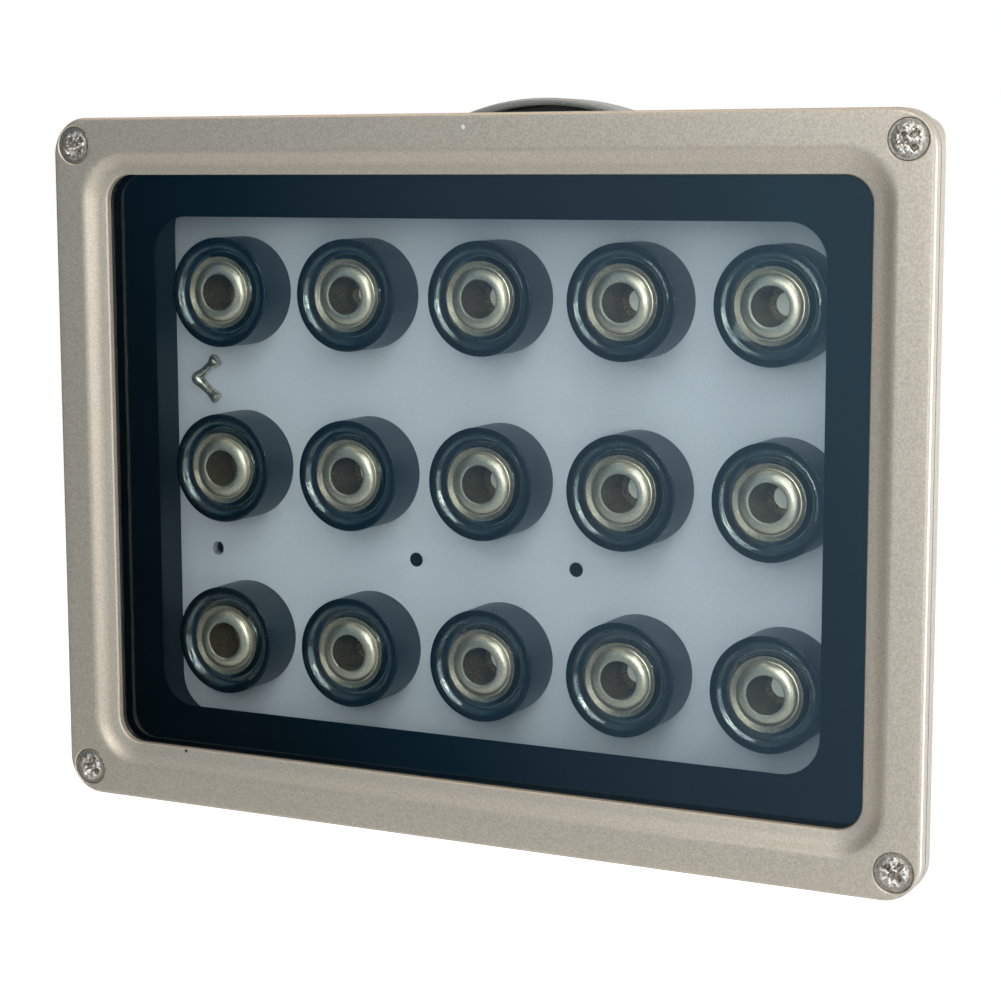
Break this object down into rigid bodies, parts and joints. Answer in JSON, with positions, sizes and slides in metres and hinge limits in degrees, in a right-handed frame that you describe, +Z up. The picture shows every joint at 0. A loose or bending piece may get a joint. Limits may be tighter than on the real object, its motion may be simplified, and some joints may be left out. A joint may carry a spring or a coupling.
{
  "type": "infrared illuminator",
  "caption": "Wall-mounted infrared illuminator: glass-fronted die-cast lamp box with a grid of lens holders, on a tilting and swivelling round wall bracket.",
  "frame": {"origin": "centre of the wall plate's back face and of its screw circle", "axes": "+Z up, +Y into the wall, the lamp faces -Y"},
  "size_m": [0.186, 0.0819, 0.1458],
  "materials": {
    "die_cast_paint": "satin champagne-silver paint on die-cast aluminium",
    "window_glass": "clear toughened glass",
    "border_ink": "blue-black ink printed on the glass",
    "black_rubber": "matt black rubber",
    "black_plastic": "matt black moulded plastic",
    "holder_plastic": "matt slate-black moulded plastic",
    "lens_acrylic": "clear moulded lens plastic",
    "emitter_nickel": "satin nickel-plated steel",
    "nickel_steel": "worn nickel-plated steel",
    "dark_steel": "blackened steel",
    "solder": "dull solder",
    "board_laminate": "pale coated circuit board",
    "driver_laminate": "green circuit board",
    "component_body": "dark moulded electronic parts",
    "bracket_paint": "satin grey paint on die-cast aluminium",
    "zinc_steel": "zinc-plated steel"
  },
  "bodies": {
    "base": {"wall_plate": "bracket_paint", "plate_cover": "black_plastic", "clamp_screw": "zinc_steel"},
    "arm": {"swivel_arm": "bracket_paint", "swivel_screw": "zinc_steel", "friction_disc": "zinc_steel", "tilt_bolt": "zinc_steel", "tilt_nut": "zinc_steel"},
    "lamp": {"front_bezel": "die_cast_paint", "rear_housing": "die_cast_paint", "window_glass": "window_glass", "window_border": "border_ink", "glass_gasket": "black_rubber", "housing_seal": "black_rubber", "gland_bush": "black_rubber", "light_shield": "black_plastic", "gland_body": "black_plastic", "gland_cap": "black_plastic", "led_board": "board_laminate", "board_screws": "dark_steel", "solder_link": "solder", "bezel_screws": "nickel_steel", "driver_board": "driver_laminate", "driver_parts": "component_body", "driver_screws": "zinc_steel", "foot_screws": "zinc_steel", "bracket_foot": "bracket_paint", "lens_holder_11": "holder_plastic", "lens_holder_12": "holder_plastic", "lens_holder_13": "holder_plastic", "lens_holder_14": "holder_plastic", "lens_holder_15": "holder_plastic", "lens_holder_21": "holder_plastic", "lens_holder_22": "holder_plastic", "lens_holder_23": "holder_plastic", "lens_holder_24": "holder_plastic", "lens_holder_25": "holder_plastic", "lens_holder_31": "holder_plastic", "lens_holder_32": "holder_plastic", "lens_holder_33": "holder_plastic", "lens_holder_34": "holder_plastic", "lens_holder_35": "holder_plastic", "lens_11": "lens_acrylic", "lens_12": "lens_acrylic", "lens_13": "lens_acrylic", "lens_14": "lens_acrylic", "lens_15": "lens_acrylic", "lens_21": "lens_acrylic", "lens_22": "lens_acrylic", "lens_23": "lens_acrylic", "lens_24": "lens_acrylic", "lens_25": "lens_acrylic", "lens_31": "lens_acrylic", "lens_32": "lens_acrylic", "lens_33": "lens_acrylic", "lens_34": "lens_acrylic", "lens_35": "lens_acrylic", "emitter_row_1": "emitter_nickel", "emitter_row_2": "emitter_nickel", "emitter_row_3": "emitter_nickel"}
  },
  "joints": [
    {"name": "plate_swivel", "type": "hinge", "parent": "base", "child": "arm", "pos_m": [0, 0, 0], "axis": [0, 1, 0], "range_deg": [-90, 90]},
    {"name": "lamp_tilt", "type": "hinge", "parent": "arm", "child": "lamp", "pos_m": [0, -0.0288, 0], "axis": [1, 0, 0], "range_deg": [-40, 25]}
  ]
}
